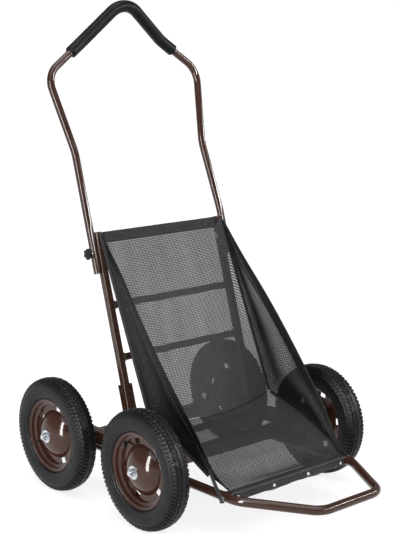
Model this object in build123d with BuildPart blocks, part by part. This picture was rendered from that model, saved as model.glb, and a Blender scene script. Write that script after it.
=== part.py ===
"""Four-wheeled firewood hand cart with a mesh sling and a fold-down handle.

Millimetres, +Z up.  The origin is on the ground, under the centre of the cart's
bounding box.  The toe loop points along -Y, the handle stands at +Y, and the left
side of the cart is -X.  Everything is symmetric about the plane X = 0 apart from the
handle's clamps: a knob on the left and a plain nut on the right.
"""
from build123d import *
import math
import os

# ---------------------------------------------------------------- driving dimensions
WHEEL_D = 330.0            # outer diameter of the pneumatic tyre
TYRE_W = 60.0              # width of the tyre over its sidewalls
WHEEL_X = 335.0            # cart centre to the middle plane of each wheel
FRONT_AXLE_Y = -58.0
REAR_AXLE_Y = 340.0
AXLE_Z = WHEEL_D / 2       # the wheels stand on the ground

LOOP_R = 12.7              # base loop tube, 25.4 mm across
LOOP_WALL = 1.8
LOOP_Z = 117.0             # height of the base loop's centreline
RAIL_X = 223.0             # the loop's two straight rails
RAIL_REAR_Y = 352.0
RAIL_BEND_Y = -297.0       # where the rails turn inwards
TOE_X = 108.0              # half width of the toe bar between its corners
TOE_Y = -492.3

BEAM_IN_X = 241.5          # side beams that carry the wheels
BEAM_W = 30.0
BEAM_H = 40.0
BEAM_OVERHANG = 28.0       # beam length past each axle
BEAM_WALL = 2.0
CROSS_TUBE_W = 25.0
CROSS_TUBE_H = 40.0
CROSS_TUBE_Z = 147.0
CROSS_TUBE_YS = {"cross_tube_front": -10.0, "cross_tube_rear": 292.0}

LADDER_X = 226.4           # back frame uprights
LADDER_Y = 207.0           # y of the back frame's centreline at LADDER_Z
LADDER_Z = 500.0
RECLINE = 0.293            # y gained for each unit of height, about 16 degrees
UPRIGHT = 20.0             # square tube of the back frame
UPRIGHT_WALL = 1.5
UPRIGHT_LOW_Z = 190.0
UPRIGHT_TOP_Z = 745.0
SOCKET = 30.0              # square sockets that hold the uprights
SOCKET_WALL = 3.0
SOCKET_TOP_Z = 332.0
SOCKET_LOW_Z = 100.0       # before the foot is cut to the rail
LINER_LENGTH = 60.0
RUNG_ZS = {"top_crossbar": 734.0, "upper_rung": 546.4, "lower_rung": 403.7}
BOTTOM_BAR_Z = 165.0
FRONT_BAR = 25.0           # square bar under the sling's front edge
FRONT_BAR_Y = -262.0

HANDLE_R = 11.0            # handle tube, 22 mm across
HANDLE_WALL = 1.5
HANDLE_GAP = 0.4           # play between handle leg and upright
HANDLE_FOOT_Z = 636.0
PIVOT_Z = 692.0            # clamp bolts, which the handle folds about
GRIP_R = 17.5
GRIP_BORE_R = 11.1
AXLE_R = 6.0
AXLE_END = 51.7            # bolt end, outboard of the wheel's middle plane
AXLE_HEX = 9.5             # half the M12 heads' and nuts' width across flats
AXLE_PLAY = 0.3            # end play of a wheel between spacer and washer
AXLE_WASHER_T = 2.5
AXLE_NUT_H = 8.5
CLAMP_BOLT_R = 4.0
CLAMP_BOLT_LENGTHS = {"left": 54.0, "right": 52.5}
CLAMP_HEAD_R = 8.5
WASHER_R = 10.0
WASHER_T = 1.5
WASHER_PLAY = 0.3
KNOB_NECK = 3.0            # round neck under the knob's star
KNOB_STAR = 10.0           # thickness of the star
KNOB_LOBES = 6
KNOB_BORE = 11.0
CLAMP_NUT_AF = 13.0        # M8 nut across flats
CLAMP_NUT_H = 6.5
RUNNING_PLAY = 0.08        # radial play of anything that turns on a bolt

SLING_X = 226.0            # half width of the sling's back and floor
MESH_T = 2.0               # envelope of one mesh layer
CREASE = (41.0, 251.0)     # where back and floor meet (y, z)

RIM_R = 104.0              # radius of the rim's flange centreline
RIM_T = 2.0
SLOT_COUNT = 5
SLOT_R = 78.0
DOME_R = 69.0
HUB_R = 17.0
HUB_OUT = 34.2             # hub ends, from the wheel's middle plane
HUB_IN = 32.2
VALVE_R = 4.4

# ------------------------------------------------------------------- derived places
LEG_X = LADDER_X + UPRIGHT / 2 + HANDLE_GAP + HANDLE_R
RECLINE_DIR = Vector(0, RECLINE, 1).normalized()
BEAM_OUT_X = BEAM_IN_X + BEAM_W
BEAM_MID_X = BEAM_IN_X + BEAM_W / 2
SIDES = {"left": -1, "right": 1}
WHEELS = {                 # side, axle, angle of the first slot, angle of the valve
    "front_left": (-1, FRONT_AXLE_Y, 0.0, 42.0),
    "front_right": (1, FRONT_AXLE_Y, 31.0, 160.0),
    "rear_left": (-1, REAR_AXLE_Y, 28.0, -26.0),
    "rear_right": (1, REAR_AXLE_Y, 12.0, 240.0),
}


def ladder_y(z):
    """Y of the reclined back frame's centreline at height z."""
    return LADDER_Y + RECLINE * (z - LADDER_Z)


PIVOT_Y = ladder_y(PIVOT_Z)

# The handle's right half from its foot to its peak: virtual corners and bend radii.
HANDLE_FOOT = Vector(LEG_X, ladder_y(HANDLE_FOOT_Z), HANDLE_FOOT_Z)
HANDLE_BENDS = [
    (Vector(LEG_X, ladder_y(768), 768), 260.0),
    (Vector(238.5, 357.4, 966.6), 160.0),
    (Vector(278.6, 427.7, 1180.7), 65.0),
    (Vector(146.8, 441.8, 1271.2), 150.0),
]
HANDLE_PEAK = (Vector(0, 425.3, 1394.5), 72.0)
GRIP_START = 0.66          # share of the run between the last two bends left bare


def save(builder, name):
    """Label a finished piece and write it as parts/NAME.step."""
    builder.part.label = name
    export_step(builder.part, f"parts/{name}.step")


def mirrored(point):
    """The same point on the cart's other side."""
    return Vector(-point.X, point.Y, point.Z)


def square_tube(start, end, width, height, wall, up=(0, 0, 1), corner=3.0):
    """A hollow rectangular tube from start to end, as a finished part; height lies along up."""
    axis = (Vector(end) - Vector(start)).normalized()
    across = Vector(up).cross(axis).normalized()
    profile = Plane(origin=start, x_dir=across, z_dir=axis)
    with BuildPart() as tube:
        with BuildSketch(profile):
            RectangleRounded(width, height, corner)
            RectangleRounded(
                width - 2 * wall, height - 2 * wall, max(corner - wall, 0.8), mode=Mode.SUBTRACT
            )
        extrude(amount=(Vector(end) - Vector(start)).length)
    return tube.part


def axle_plane(side, y, offset=0.0):
    """A plane square to the wheel axle, offset outboard from the wheel's middle."""
    return Plane(origin=(side * (WHEEL_X + offset), y, AXLE_Z), x_dir=(0, 1, 0), z_dir=(side, 0, 0))


def wheel_section(side, y):
    """Half section of a wheel: local x points outboard and local y is the radius."""
    return Plane(origin=(side * WHEEL_X, y, AXLE_Z), x_dir=(side, 0, 0), z_dir=(0, -side, 0))


def wheel_axis(side, y):
    return Axis((side * WHEEL_X, y, AXLE_Z), (side, 0, 0))


# ------------------------------------------------------------------------ base frame
os.makedirs("parts", exist_ok=True)

rear_end = Vector(RAIL_X, RAIL_REAR_Y, LOOP_Z)
rail_bend = Vector(RAIL_X, RAIL_BEND_Y, LOOP_Z)
toe_corner = Vector(TOE_X, TOE_Y, LOOP_Z)

with BuildPart() as base_loop:
    with BuildLine():
        FilletPolyline(
            mirrored(rear_end), mirrored(rail_bend), mirrored(toe_corner),
            toe_corner, rail_bend, rear_end,
            radius=[80.0, 55.0, 55.0, 80.0],
        )
    with BuildSketch(Plane(origin=mirrored(rear_end), z_dir=(0, -1, 0))):
        Circle(LOOP_R)
        Circle(LOOP_R - LOOP_WALL, mode=Mode.SUBTRACT)
    sweep()
    for s in SIDES.values():
        with BuildSketch(Plane(origin=(s * (RAIL_X - 30), FRONT_BAR_Y, LOOP_Z), z_dir=(s, 0, 0))):
            Circle(4.0)
        extrude(amount=60, mode=Mode.SUBTRACT)
save(base_loop, "base_loop")


# Both rails as solid bars, which every piece welded onto them is coped with.
with BuildPart() as rail_bars:
    for s in SIDES.values():
        with BuildSketch(Plane(origin=(s * RAIL_X, RAIL_REAR_Y, LOOP_Z), z_dir=(0, -1, 0))):
            Circle(LOOP_R)
        extrude(amount=RAIL_REAR_Y - RAIL_BEND_Y)

for name, s in SIDES.items():
    beam_front = (s * BEAM_MID_X, FRONT_AXLE_Y - BEAM_OVERHANG, AXLE_Z)
    beam_rear = (s * BEAM_MID_X, REAR_AXLE_Y + BEAM_OVERHANG, AXLE_Z)
    with BuildPart() as side_beam:
        add(square_tube(beam_front, beam_rear, BEAM_W, BEAM_H, BEAM_WALL))
        for y in (FRONT_AXLE_Y, REAR_AXLE_Y):
            with BuildSketch(Plane(origin=(s * (BEAM_IN_X - 1), y, AXLE_Z), z_dir=(s, 0, 0))):
                Circle(AXLE_R)
            extrude(amount=BEAM_W + 2, mode=Mode.SUBTRACT)
    save(side_beam, f"side_beam_{name}")

for name, y in CROSS_TUBE_YS.items():
    ends = [(s * BEAM_IN_X, y, CROSS_TUBE_Z) for s in (-1, 1)]
    with BuildPart() as cross_tube:
        add(square_tube(*ends, CROSS_TUBE_W, CROSS_TUBE_H, BEAM_WALL))
        add(rail_bars.part, mode=Mode.SUBTRACT)
    save(cross_tube, name)

beam_ends = ((FRONT_AXLE_Y - BEAM_OVERHANG, -1), (REAR_AXLE_Y + BEAM_OVERHANG, 1))
with BuildPart() as end_caps:
    for s in SIDES.values():
        for y, out in beam_ends:
            beam_end = Plane(origin=(s * BEAM_MID_X, y, AXLE_Z), x_dir=(1, 0, 0), z_dir=(0, out, 0))
            with BuildSketch(beam_end):
                RectangleRounded(BEAM_W, BEAM_H, 3.0)
            extrude(amount=3.0)
            with BuildSketch(beam_end):
                RectangleRounded(BEAM_W - 2 * BEAM_WALL, BEAM_H - 2 * BEAM_WALL, 1.0)
            extrude(amount=-10.0)
        with BuildSketch(Plane(origin=(s * RAIL_X, RAIL_REAR_Y, LOOP_Z), z_dir=(0, 1, 0))):
            Circle(LOOP_R)
        extrude(amount=3.0)
        with BuildSketch(Plane(origin=(s * RAIL_X, RAIL_REAR_Y, LOOP_Z), z_dir=(0, -1, 0))):
            Circle(LOOP_R - LOOP_WALL)
        extrude(amount=12.0)
save(end_caps, "end_caps")

front_bar_ends = [(s * (RAIL_X - 4), FRONT_BAR_Y, LOOP_Z) for s in (-1, 1)]
with BuildPart() as front_crossbar:
    add(square_tube(*front_bar_ends, FRONT_BAR, FRONT_BAR, BEAM_WALL))
    add(rail_bars.part, mode=Mode.SUBTRACT)
save(front_crossbar, "front_crossbar")

# ------------------------------------------------------------------ ladder back frame
for name, s in SIDES.items():
    foot = (s * LADDER_X, ladder_y(SOCKET_LOW_Z), SOCKET_LOW_Z)
    mouth = (s * LADDER_X, ladder_y(SOCKET_TOP_Z), SOCKET_TOP_Z)
    with BuildPart() as socket:
        add(square_tube(foot, mouth, SOCKET, SOCKET, SOCKET_WALL, up=(0, 1, 0)))
        split(bisect_by=Plane.XY.offset(LOOP_Z + 6), keep=Keep.TOP)
        add(rail_bars.part, mode=Mode.SUBTRACT)
    save(socket, f"socket_{name}")

    low = (s * LADDER_X, ladder_y(UPRIGHT_LOW_Z), UPRIGHT_LOW_Z)
    top = (s * LADDER_X, ladder_y(UPRIGHT_TOP_Z), UPRIGHT_TOP_Z)
    with BuildPart() as upright:
        add(square_tube(low, top, UPRIGHT, UPRIGHT, UPRIGHT_WALL, up=(0, 1, 0)))
        with BuildSketch(Plane(origin=(s * (LADDER_X - UPRIGHT), PIVOT_Y, PIVOT_Z), z_dir=(s, 0, 0))):
            Circle(CLAMP_BOLT_R)
        extrude(amount=2 * UPRIGHT, mode=Mode.SUBTRACT)
    save(upright, f"upright_{name}")


def reclined_plane(x, z):
    """A plane square to the back frame's uprights."""
    return Plane(origin=(x, ladder_y(z), z), x_dir=(1, 0, 0), z_dir=RECLINE_DIR)


with BuildPart() as socket_liners:
    liner = SOCKET - 2 * SOCKET_WALL
    for s in SIDES.values():
        with BuildSketch(reclined_plane(s * LADDER_X, SOCKET_TOP_Z)):
            RectangleRounded(liner, liner, 1.0)
            RectangleRounded(UPRIGHT, UPRIGHT, 3.0, mode=Mode.SUBTRACT)
        extrude(amount=-LINER_LENGTH)
save(socket_liners, "socket_liners")

with BuildPart() as upright_caps:
    plug = UPRIGHT - 2 * UPRIGHT_WALL
    for s in SIDES.values():
        with BuildSketch(reclined_plane(s * LADDER_X, UPRIGHT_TOP_Z)):
            RectangleRounded(UPRIGHT, UPRIGHT, 3.0)
        extrude(amount=2.5)
        with BuildSketch(reclined_plane(s * LADDER_X, UPRIGHT_TOP_Z)):
            RectangleRounded(plug, plug, 1.5)
        extrude(amount=-12.0)
save(upright_caps, "upright_caps")

inner_face = LADDER_X - UPRIGHT / 2
for name, z in RUNG_ZS.items():
    ends = [(s * inner_face, ladder_y(z), z) for s in (-1, 1)]
    with BuildPart() as rung:
        add(square_tube(*ends, UPRIGHT, UPRIGHT, UPRIGHT_WALL, up=RECLINE_DIR))
    save(rung, name)

socket_face = LADDER_X - SOCKET / 2
ends = [(s * socket_face, ladder_y(BOTTOM_BAR_Z), BOTTOM_BAR_Z) for s in (-1, 1)]
with BuildPart() as bottom_crossbar:
    add(square_tube(*ends, UPRIGHT, UPRIGHT, UPRIGHT_WALL, up=RECLINE_DIR))
save(bottom_crossbar, "bottom_crossbar")

# ---------------------------------------------------------------------------- handle
right_bends = [bend for bend, _ in HANDLE_BENDS]
radii = [radius for _, radius in HANDLE_BENDS]
peak, peak_radius = HANDLE_PEAK
handle_points = [
    mirrored(HANDLE_FOOT), *[mirrored(bend) for bend in right_bends],
    peak, *reversed(right_bends), HANDLE_FOOT,
]

with BuildPart() as handle_tube:
    with BuildLine():
        FilletPolyline(*handle_points, radius=[*radii, peak_radius, *reversed(radii)])
    with BuildSketch(Plane(origin=mirrored(HANDLE_FOOT), z_dir=RECLINE_DIR)):
        Circle(HANDLE_R)
        Circle(HANDLE_R - HANDLE_WALL, mode=Mode.SUBTRACT)
    sweep()
    with BuildSketch(Plane(origin=(-LEG_X - 30, PIVOT_Y, PIVOT_Z), z_dir=(1, 0, 0))):
        Circle(CLAMP_BOLT_R + RUNNING_PLAY)
    extrude(amount=2 * LEG_X + 60, mode=Mode.SUBTRACT)
save(handle_tube, "handle_tube")

shoulder, elbow = right_bends[2], right_bends[3]
grip_end = shoulder + (elbow - shoulder) * GRIP_START
with BuildPart() as foam_grip:
    with BuildLine():
        FilletPolyline(
            mirrored(grip_end), mirrored(elbow), peak, elbow, grip_end,
            radius=[radii[3], peak_radius, radii[3]],
        )
    with BuildSketch(Plane(origin=mirrored(grip_end), z_dir=mirrored(elbow) - mirrored(grip_end))):
        Circle(GRIP_R)
        Circle(GRIP_BORE_R, mode=Mode.SUBTRACT)
    sweep()
save(foam_grip, "foam_grip")

with BuildPart() as handle_bolts:
    for name, s in SIDES.items():
        seat = Plane(origin=(s * inner_face, PIVOT_Y, PIVOT_Z), z_dir=(s, 0, 0))
        with BuildSketch(seat):
            Circle(CLAMP_BOLT_R)
        extrude(amount=CLAMP_BOLT_LENGTHS[name])
        with BuildSketch(seat):
            Circle(CLAMP_HEAD_R)
        extrude(amount=-4.5, taper=30)
save(handle_bolts, "handle_bolts")

washer_x = LEG_X + HANDLE_R + HANDLE_GAP
with BuildPart() as handle_washers:
    for s in SIDES.values():
        with BuildSketch(Plane(origin=(s * washer_x, PIVOT_Y, PIVOT_Z), z_dir=(s, 0, 0))):
            Circle(WASHER_R)
            Circle(CLAMP_BOLT_R, mode=Mode.SUBTRACT)
        extrude(amount=WASHER_T)
save(handle_washers, "handle_washers")

knob_x = washer_x + WASHER_T + WASHER_PLAY
knob_seat = Plane(origin=(-knob_x, PIVOT_Y, PIVOT_Z), z_dir=(-1, 0, 0))
with BuildPart() as knob_left:
    with BuildSketch(knob_seat):
        Circle(9.0)
    extrude(amount=KNOB_NECK)
    with BuildSketch(knob_seat.offset(KNOB_NECK)):
        Circle(12.0)
        with PolarLocations(11.5, KNOB_LOBES):
            Circle(4.3)
    extrude(amount=KNOB_STAR)
    fillet(knob_left.faces().filter_by(Axis.X).sort_by(Axis.X)[0].edges(), 2.0)
    with BuildSketch(knob_seat):
        Circle(CLAMP_BOLT_R + RUNNING_PLAY)
    extrude(amount=KNOB_BORE, mode=Mode.SUBTRACT)
save(knob_left, "knob_left")

nut_seat = Plane(origin=(washer_x + WASHER_T, PIVOT_Y, PIVOT_Z), z_dir=(1, 0, 0))
with BuildPart() as clamp_nut:
    with BuildSketch(nut_seat):
        RegularPolygon(CLAMP_NUT_AF / 2, 6, major_radius=False)
        Circle(CLAMP_BOLT_R, mode=Mode.SUBTRACT)
    extrude(amount=CLAMP_NUT_H)
save(clamp_nut, "clamp_nut")

# --------------------------------------------------------------------- axle hardware
with BuildPart() as axle_bolts:
    for s, y, *_ in WHEELS.values():
        seat = Plane(origin=(s * BEAM_IN_X, y, AXLE_Z), z_dir=(s, 0, 0))
        with BuildSketch(seat):
            Circle(AXLE_R)
        extrude(amount=WHEEL_X + AXLE_END - BEAM_IN_X)
        with BuildSketch(seat):
            RegularPolygon(AXLE_HEX, 6, major_radius=False)
        extrude(amount=-7.5)
save(axle_bolts, "axle_bolts")

spacer_length = WHEEL_X - HUB_IN - AXLE_PLAY - BEAM_OUT_X
with BuildPart() as axle_spacers:
    for s, y, *_ in WHEELS.values():
        with BuildSketch(Plane(origin=(s * BEAM_OUT_X, y, AXLE_Z), z_dir=(s, 0, 0))):
            Circle(10.0)
            Circle(AXLE_R, mode=Mode.SUBTRACT)
        extrude(amount=spacer_length)
save(axle_spacers, "axle_spacers")

with BuildPart() as axle_washers:
    for s, y, *_ in WHEELS.values():
        with BuildSketch(axle_plane(s, y, HUB_OUT + AXLE_PLAY)):
            Circle(18.5)
            Circle(AXLE_R, mode=Mode.SUBTRACT)
        extrude(amount=AXLE_WASHER_T)
save(axle_washers, "axle_washers")

with BuildPart() as axle_nuts:
    for s, y, *_ in WHEELS.values():
        axle_nut_seat = axle_plane(s, y, HUB_OUT + AXLE_PLAY + AXLE_WASHER_T)
        with BuildSketch(axle_nut_seat):
            RegularPolygon(AXLE_HEX, 6, major_radius=False)
            Circle(AXLE_R, mode=Mode.SUBTRACT)
        extrude(amount=AXLE_NUT_H)
        with BuildSketch(axle_nut_seat.offset(AXLE_NUT_H)):
            Circle(8.6)
            Circle(AXLE_R, mode=Mode.SUBTRACT)
        extrude(amount=3.5)
save(axle_nuts, "axle_nuts")

# ---------------------------------------------------------------------------- wheels
RIM_BARREL = [
    (22.4, RIM_R), (19.8, 102.6), (19.0, 98.5), (10.5, 96.8), (7.2, 89.0),
    (-7.2, 89.0), (-10.5, 96.8), (-19.0, 98.5), (-19.8, 102.6), (-22.4, RIM_R),
]


def valve_line(s, y, angle):
    """Where the valve crosses the rim's well, and the way it leans."""
    turn = math.radians(angle)
    radial = Vector(0, math.cos(turn), math.sin(turn))
    root = Vector(s * (WHEEL_X + 8.5), y, AXLE_Z) + radial * 90.3
    return root, (Vector(s * 0.5, 0, 0) - radial * 0.866).normalized()


def make_rim(s, y, phase, valve_angle):
    """Stamped steel rim: barrel, slotted ring and convex dome in one piece."""
    dome_mid = (23.0, 46.2)
    with BuildPart() as rim:
        with BuildSketch(wheel_section(s, y)):
            with BuildLine() as barrel:
                Polyline(*RIM_BARREL)
            trace(barrel.edges(), line_width=RIM_T)
            with BuildLine() as disc:
                ring = Line((1.0, 89.0), (1.0, DOME_R))
                ThreePointArc(ring @ 1, dome_mid, (HUB_OUT - 1.0, HUB_R))
            trace(disc.edges(), line_width=RIM_T)
            for edge_u in (-22.4, 22.4):
                with Locations((edge_u, RIM_R)):
                    Circle(1.7)
        revolve(axis=wheel_axis(s, y))
        with BuildSketch(axle_plane(s, y, -3.0)):
            with PolarLocations(SLOT_R, SLOT_COUNT, start_angle=s * phase):
                Rectangle(15.0, 19.0)
        extrude(amount=8.0, mode=Mode.SUBTRACT)
        with BuildSketch(axle_plane(s, y, -10)):
            Circle(HUB_R)
        extrude(amount=60.0, mode=Mode.SUBTRACT)
        root, lean = valve_line(s, y, valve_angle)
        with BuildSketch(Plane(origin=root - lean * 12, z_dir=lean)):
            Circle(VALVE_R + 0.3)
        extrude(amount=24.0, mode=Mode.SUBTRACT)
    return rim


def make_tyre(s, y):
    """Hollow tyre with square shoulders, round sidewalls and open beads."""
    half = TYRE_W / 2
    with BuildPart() as tyre:
        with BuildSketch(wheel_section(s, y)):
            with BuildLine():
                right = Spline((25.6, 108.0), (half, 130.0), (half - 3.6, 151.0), (half - 9.0, 161.0))
                crown = ThreePointArc(right @ 1, (0, WHEEL_D / 2), (9.0 - half, 161.0))
                left = Spline((9.0 - half, 161.0), (3.6 - half, 151.0), (-half, 130.0), (-25.6, 108.0))
                Polyline(left @ 1, (-18.2, 105.0), (-17.6, 100.2), (-11.5, 99.2), (-13.5, 107.0))
                inner = Spline((-13.5, 107.0), (-24.0, 130.0), (0, 158.0), (24.0, 130.0), (13.5, 107.0))
                Polyline(inner @ 1, (11.5, 99.2), (17.6, 100.2), (18.2, 105.0), right @ 0)
            make_face()
        revolve(axis=wheel_axis(s, y))
    return tyre


def make_inner_tube(s, y):
    with BuildPart() as inner_tube:
        with BuildSketch(wheel_section(s, y)):
            with Locations((0, 129.0)):
                Ellipse(17.5, 23.0)
                Ellipse(15.5, 21.0, mode=Mode.SUBTRACT)
        revolve(axis=wheel_axis(s, y))
    return inner_tube


def make_hub(s, y):
    with BuildPart() as hub:
        with BuildSketch(wheel_section(s, y)):
            with BuildLine():
                Polyline(
                    (-HUB_IN, 14.0), (HUB_OUT, 14.0), (HUB_OUT, HUB_R), (-HUB_IN, HUB_R), close=True
                )
            make_face()
        revolve(axis=wheel_axis(s, y))
    return hub


def make_bearings(s, y):
    """Two sealed bearings, pressed into the hub and running on the axle bolt."""
    bore = AXLE_R + RUNNING_PLAY
    with BuildPart() as bearings:
        for u_low, u_high in ((-HUB_IN, -HUB_IN + 9), (HUB_OUT - 9, HUB_OUT)):
            with BuildSketch(wheel_section(s, y)):
                with BuildLine():
                    Polyline(
                        (u_low, bore), (u_high, bore), (u_high, 8.5), (u_high - 0.8, 9.2),
                        (u_high - 0.8, 11.8), (u_high, 12.5), (u_high, 14.0), (u_low, 14.0),
                        (u_low, 12.5), (u_low + 0.8, 11.8), (u_low + 0.8, 9.2), (u_low, 8.5),
                        close=True,
                    )
                make_face()
            revolve(axis=wheel_axis(s, y))
    return bearings


def make_valve(s, y, angle):
    """Rubber valve stem through the rim's well, with its cap."""
    root, lean = valve_line(s, y, angle)
    with BuildPart() as valve:
        with BuildSketch(Plane(origin=root - lean * 12.0, z_dir=lean)):
            Circle(VALVE_R)
        extrude(amount=21.0)
        with BuildSketch(Plane(origin=root + lean * 9.0, z_dir=lean)):
            Circle(3.4)
        extrude(amount=12.0)
        fillet(valve.faces().sort_by(Axis(root, lean))[-1].edges(), 1.2)
    return valve


for name, (s, y, phase, valve_angle) in WHEELS.items():
    save(make_rim(s, y, phase, valve_angle), f"rim_{name}")
    save(make_tyre(s, y), f"tyre_{name}")
    save(make_inner_tube(s, y), f"inner_tube_{name}")
    save(make_hub(s, y), f"hub_{name}")
    save(make_bearings(s, y), f"bearings_{name}")
    save(make_valve(s, y, valve_angle), f"valve_{name}")

# ----------------------------------------------------------------------------- sling
bar_top = LOOP_Z + FRONT_BAR / 2 + MESH_T / 2
bar_rear = FRONT_BAR_Y + FRONT_BAR / 2
bar_front = FRONT_BAR_Y - FRONT_BAR / 2 - MESH_T / 2
floor_bend = (-165.0, 178.0)
flap_x = RAIL_X - LOOP_R - 1.3          # the flap fits between the rails

with BuildPart() as sling_floor:
    with BuildSketch(Plane.YZ.offset(-SLING_X)):
        with BuildLine() as floor_line:
            Polyline((CREASE[0] - 2, CREASE[1] - 2.5), floor_bend, (bar_rear, bar_top + 1.6))
        trace(floor_line.edges(), line_width=MESH_T)
    extrude(amount=2 * SLING_X)
    with BuildSketch(Plane.YZ.offset(-flap_x)):
        with BuildLine() as flap_line:
            Polyline((bar_rear, bar_top), (bar_front, bar_top), (bar_front, LOOP_Z - 11))
        trace(flap_line.edges(), line_width=MESH_T)
    extrude(amount=2 * flap_x)
save(sling_floor, "sling_floor")

top_z = RUNG_ZS["top_crossbar"]
hem_x = inner_face - 3.0                # the hem stops short of the uprights
hem_plane = Plane(
    origin=(-hem_x, ladder_y(top_z), top_z),
    x_dir=Vector(0, 1, -RECLINE).normalized(),
    z_dir=(1, 0, 0),
)
back_top = (ladder_y(top_z) - 19.0, 716.0)
with BuildPart() as sling_back:
    with BuildSketch(Plane.YZ.offset(-SLING_X)):
        with BuildLine() as back_line:
            Line((CREASE[0], CREASE[1] + 1.5), back_top)
        trace(back_line.edges(), line_width=MESH_T)
    extrude(amount=2 * SLING_X)
    with BuildSketch(hem_plane):
        RectangleRounded(UPRIGHT + 2 * MESH_T, UPRIGHT + 2 * MESH_T, 4.0)
        RectangleRounded(UPRIGHT + 0.2, UPRIGHT + 0.2, 3.0, mode=Mode.SUBTRACT)
    extrude(amount=2 * hem_x)
    with BuildSketch(Plane.YZ.offset(-hem_x)):
        with BuildLine() as lip_line:
            Line(back_top, (ladder_y(top_z) - 12.6, 731.0))
        trace(lip_line.edges(), line_width=MESH_T)
    extrude(amount=2 * hem_x)
save(sling_back, "sling_back")

panel_outline = [
    (CREASE[0] + 2.0, CREASE[1] - 4.0), (floor_bend[0], floor_bend[1] - 4.0), (-263.0, 134.0),
    (-263.0, 146.0), (214.0, 712.0), (back_top[0] - 3.0, back_top[1]),
]
for name, s in SIDES.items():
    with BuildPart() as sling_side:
        with BuildSketch(Plane.YZ.offset(s * (SLING_X + 0.3))):
            with BuildLine():
                Polyline(*panel_outline, close=True)
            make_face()
        extrude(amount=s * MESH_T)
    save(sling_side, f"sling_side_{name}")

strap_low = (RAIL_X + LOOP_R + 0.8, FRONT_BAR_Y, LOOP_Z)
strap_high = (SLING_X + MESH_T + 0.8, -198.0, 178.0)
for name, s in SIDES.items():
    low = Vector(s * strap_low[0], *strap_low[1:])
    high = Vector(s * strap_high[0], *strap_high[1:])
    run = high - low
    face = Plane(origin=low, x_dir=run, z_dir=run.cross(Vector(0, -1, 1)) * s)
    with BuildPart() as strap:
        with BuildSketch(face):
            with Locations((run.length / 2, 0)):
                Rectangle(run.length, 14.0)
            Circle(9.0)
            Circle(4.2, mode=Mode.SUBTRACT)
        extrude(amount=1.6)
    save(strap, f"strap_{name}")

with BuildPart() as strap_bolts:
    for s in SIDES.values():
        seat = Plane(origin=(s * (strap_low[0] + 2.6), FRONT_BAR_Y, LOOP_Z), z_dir=(s, 0, 0))
        with BuildSketch(seat):
            RegularPolygon(6.5, 6, major_radius=False)
        extrude(amount=5.0)
        with BuildSketch(seat):
            Circle(4.0)
        extrude(amount=-36.0)
save(strap_bolts, "strap_bolts")

rivet_y = FRONT_BAR_Y - FRONT_BAR / 2 - MESH_T - 0.1
with BuildPart() as sling_rivets:
    for x in (-196.2, -65.4, 65.4, 196.2):
        with BuildSketch(Plane(origin=(x, rivet_y, LOOP_Z - 1), z_dir=(0, -1, 0))):
            Circle(5.0)
        extrude(amount=2.6, taper=40)
save(sling_rivets, "sling_rivets")
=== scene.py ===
"""Four-wheeled firewood hand cart: its looks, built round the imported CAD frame.

Metres, +Z up, in the CAD's own frame.  Sizes that are easier to read in millimetres
are written so and turned into metres by mm().
"""
import math

import bpy
from mathutils import Matrix, Vector, noise


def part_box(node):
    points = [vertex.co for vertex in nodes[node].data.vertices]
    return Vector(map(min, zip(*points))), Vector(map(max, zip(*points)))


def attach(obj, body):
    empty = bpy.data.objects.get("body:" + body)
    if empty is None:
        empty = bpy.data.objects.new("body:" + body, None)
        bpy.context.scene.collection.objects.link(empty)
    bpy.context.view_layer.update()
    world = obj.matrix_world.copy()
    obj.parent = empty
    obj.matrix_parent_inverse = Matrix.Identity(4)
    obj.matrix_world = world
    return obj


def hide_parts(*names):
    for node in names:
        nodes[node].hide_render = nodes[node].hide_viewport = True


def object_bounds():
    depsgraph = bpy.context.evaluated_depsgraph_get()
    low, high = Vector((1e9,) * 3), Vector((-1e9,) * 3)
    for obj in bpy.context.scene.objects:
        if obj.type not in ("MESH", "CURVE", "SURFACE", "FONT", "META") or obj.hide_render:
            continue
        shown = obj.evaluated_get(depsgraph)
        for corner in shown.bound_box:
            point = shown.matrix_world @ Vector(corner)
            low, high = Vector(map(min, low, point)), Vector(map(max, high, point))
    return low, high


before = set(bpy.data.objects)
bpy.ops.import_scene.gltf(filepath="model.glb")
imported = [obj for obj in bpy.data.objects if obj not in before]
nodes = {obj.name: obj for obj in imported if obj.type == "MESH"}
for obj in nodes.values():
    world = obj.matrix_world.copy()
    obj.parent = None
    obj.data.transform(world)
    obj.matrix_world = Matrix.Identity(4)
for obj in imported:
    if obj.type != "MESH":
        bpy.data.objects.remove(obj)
cad_low, cad_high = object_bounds()
SIDES = {"left": -1, "right": 1}
MM = 0.001


def mm(*values):
    """A point or a length given in millimetres."""
    return Vector(values) * MM if len(values) > 1 else values[0] * MM


def middle(node):
    """The centre of a CAD node's box."""
    low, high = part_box(node)
    return (low + high) / 2


def smoothstep(value):
    t = min(max(value, 0.0), 1.0)
    return t * t * (3 - 2 * t)


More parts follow.
